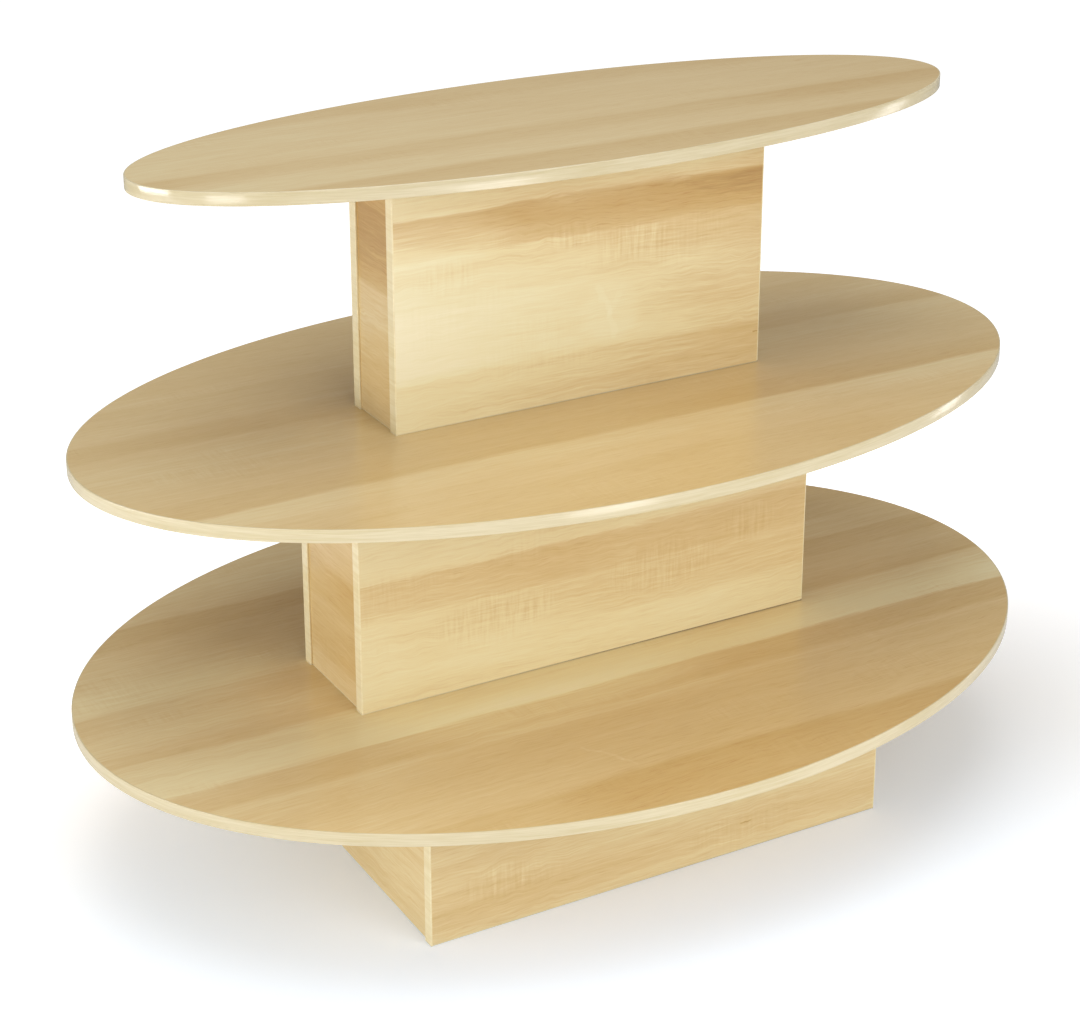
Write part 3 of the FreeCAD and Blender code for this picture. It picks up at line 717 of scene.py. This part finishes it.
PANEL_BAND_TONES = (rgb(245, 234, 196), rgb(238, 224, 180))
FITTING_FINISHES = {
    "cam_locks": zinc_finish,
    "cam_bolts": steel_finish,
    "dowels": beech_finish,
    "cleat_screws": steel_finish,
    "shelf_screws": steel_finish,
    "riser_screws": steel_finish,
}

# The screws that stand up from a shelf's underside, and how many there are in a row
RISER_SCREWS = {
    "bottom_shelf": ("middle_riser_riser_screws", 4),
    "middle_shelf": ("upper_riser_riser_screws", 3),
}


def dress(node, material):
    """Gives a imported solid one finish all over."""
    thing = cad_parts[node]
    thing.data.materials.clear()
    thing.data.materials.append(material)


for number, shelf in enumerate(SHELVES):
    low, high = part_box(shelf)
    rear_left = Vector((low.x, high.y, high.z))
    shelf_finish = maple_print(
        shelf + "_maple",
        ("x", "y", rear_left, high.x - low.x),
        STRIPES[shelf],
        SHELF_SEED + SHELF_SEED_STEP * number,
        SHADE_SLANTS.get(shelf, 0.0),
        SHELF_CONTRASTS[shelf],
        MARKS.get(shelf, {}),
    )
    make_shelf_board(shelf, shelf_finish, RISER_SCREWS.get(shelf))
    make_shelf_band(shelf, shelf_band_finish)

for number, box in enumerate(BOXES):
    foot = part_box(f"{box}_front_panel")[0].z
    band_finish = banding(f"{box}_banding", *PANEL_BAND_TONES, foot=foot, foot_shade=FOOT_SHADES[box])
    for side_number, side in enumerate(LONG_SIDES + END_SIDES):
        long_axis = "x" if side in LONG_SIDES else "y"
        panel = f"{box}_{side}"
        low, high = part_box(panel + "_panel")
        upper_corner = Vector((low.x, low.y, high.z))
        panel_finish = maple_print(
            panel + "_maple",
            (long_axis, "z", upper_corner, getattr(high - low, long_axis)),
            STRIPES[panel],
            PANEL_SEED + BOX_SEED_STEP * number + SIDE_SEED_STEP * side_number,
            SHADE_SLANTS.get(panel, 0.0),
            PANEL_CONTRAST,
            MARKS.get(panel, {}),
            raw_edge="Z",
        )
        dress(panel + "_panel", panel_finish)
        dress(panel + "_bands", band_finish)
        if panel + "_cleat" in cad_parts:
            dress(panel + "_cleat", softwood_finish)
    for kind, material in FITTING_FINISHES.items():
        if f"{box}_{kind}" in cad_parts:
            dress(f"{box}_{kind}", material)


# ---------------------------------------------------------------- studio

FLOOR_SIZE = 40
FLOOR_DROP = 0.5 * MM
FLOOR_GREYS = ((*rgb(237, 237, 237), 1), (*rgb(239, 239, 239), 1))

# How strongly the floor glows for the camera: at the dimmest place, how that grows with the distance from
# there, and at most. The place and its reach along x and y are in metres; the dim oval is painted shade
# round the table.
FLOOR_LEVEL, FLOOR_GAIN, FLOOR_MOST = 0.08, 0.235, 0.75
SHADE_OVAL_MIDDLE, SHADE_OVAL_REACH = (0.15, -0.1), (0.9, 0.45)

# Where the glow is bluer, against the warm light that the wood throws on the floor
BLUER_MIDDLE, BLUER_REACH = (-0.15, -0.3), (1.5, 1.0)
GLOW_WHITE, BLUER_WHITE = (1.0, 1.0, 1.0, 1), (0.72, 1.0, 1.34, 1)

# How strongly the room lights the table. The camera sees it as white.
ROOM_LEVEL = 0.29

LAMP_AIM = Vector((0, 0, 0.6))

PICTURE_WIDTH = 1080
CAMERA_PLACE = Vector((-1.70344, -2.97313, 1.99225))
CAMERA_DIP = 20.492
CAMERA_TURN = -29.298
CAMERA_FOCAL_PIXELS = 2477.92
CAMERA_RISE_PIXELS = 150.0


def make_floor():
    """A pale floor that reads as white, but keeps the table's shadow, with painted shade in an oval round
    the table.
    """
    place = (0, 0, -FLOOR_DROP)
    bpy.ops.mesh.primitive_grid_add(x_subdivisions=8, y_subdivisions=8, size=FLOOR_SIZE, location=place)
    floor = bpy.context.object
    floor.name = "floor"
    finish = new_finish("studio_floor")
    colour = finish.mix(finish.mottle((0.8, 0.8, 1.0)), *FLOOR_GREYS)
    diffuse = finish.node("ShaderNodeBsdfDiffuse", inputs={"Color": colour})["BSDF"]

    x, y, _ = finish.place()
    bluer = 1 - oval_distance(x, y, BLUER_MIDDLE, BLUER_REACH).smooth_step(0.05, 0.50)
    white = finish.mix(bluer, GLOW_WHITE, BLUER_WHITE)
    # Painted shade: the glow, and so the floor, is dimmest in the oval round the table.
    level = oval_distance(x, y, SHADE_OVAL_MIDDLE, SHADE_OVAL_REACH) * FLOOR_GAIN + FLOOR_LEVEL
    seen = finish.node("ShaderNodeLightPath")["Is Camera Ray"]
    strength = seen * level.math("MINIMUM", level, FLOOR_MOST)
    glow = finish.node("ShaderNodeEmission", inputs={"Color": white, "Strength": strength})["Emission"]
    total = finish.node("ShaderNodeAddShader", inputs={0: diffuse, 1: glow})["Shader"]
    finish.node("ShaderNodeOutputMaterial", inputs={"Surface": total})
    floor.data.materials.append(finish.owner)
    floor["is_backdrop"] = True


def make_world():
    """Plain white all round, which the camera sees brighter than it lights the table."""
    world = bpy.data.worlds.new("studio")
    bpy.context.scene.world = world
    room = Finish(world)
    seen = room.node("ShaderNodeLightPath")["Is Camera Ray"]
    levels = {"Value": seen, "To Min": ROOM_LEVEL, "To Max": 1.0}
    strength = room.node("ShaderNodeMapRange", inputs=levels)["Result"]
    background = room.node("ShaderNodeBackground", inputs={"Color": (1, 1, 1, 1), "Strength": strength})
    room.node("ShaderNodeOutputWorld", inputs={"Surface": background["Background"]})


def soft_box(name, azimuth, distance, height, size, power):
    """A soft box at an azimuth round the table, 0 in front and 90 to the right, aimed near its middle."""
    angle = math.radians(azimuth)
    place = Vector((math.sin(angle) * distance, -math.cos(angle) * distance, height))
    lamp = bpy.data.lights.new(name, "AREA")
    lamp.shape = "RECTANGLE"
    lamp.size, lamp.size_y = size
    lamp.energy = power
    thing = bpy.data.objects.new(name, lamp)
    bpy.context.scene.collection.objects.link(thing)
    thing.location = place
    thing.rotation_euler = (LAMP_AIM - place).to_track_quat("-Z", "Y").to_euler()
    thing.visible_camera = False


def make_camera():
    camera = bpy.data.cameras.new("camera")
    camera.sensor_width = 36
    camera.lens = CAMERA_FOCAL_PIXELS * camera.sensor_width / PICTURE_WIDTH
    camera.shift_y = -CAMERA_RISE_PIXELS / PICTURE_WIDTH
    camera.clip_end = 100
    thing = bpy.data.objects.new("camera", camera)
    bpy.context.scene.collection.objects.link(thing)
    thing.location = CAMERA_PLACE
    thing.rotation_euler = (math.radians(90 - CAMERA_DIP), 0, math.radians(CAMERA_TURN))
    bpy.context.scene.camera = thing


make_floor()
make_world()

# Azimuth in degrees, then distance, height of the middle and the box's own size in metres, then watts
soft_box("key_box", 8, 4.4, 2.7, (4.4, 3.4), 108)
soft_box("left_box", -95, 3.6, 0.60, (2.4, 0.60), 50)
soft_box("ceiling_box", -50, 0.5, 4.2, (3.2, 3.2), 68)
soft_box("left_front_strip", -54, 1.5, 0.77, (0.32, 0.3), 1.4)
soft_box("front_strip", 5.3, 1.5, 0.43, (0.36, 0.56), 2.2)
soft_box("right_strip", 76, 2.1, 0.40, (0.28, 0.76), 2.4)
make_camera()
bpy.context.scene.view_settings.view_transform = "Standard"

low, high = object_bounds()
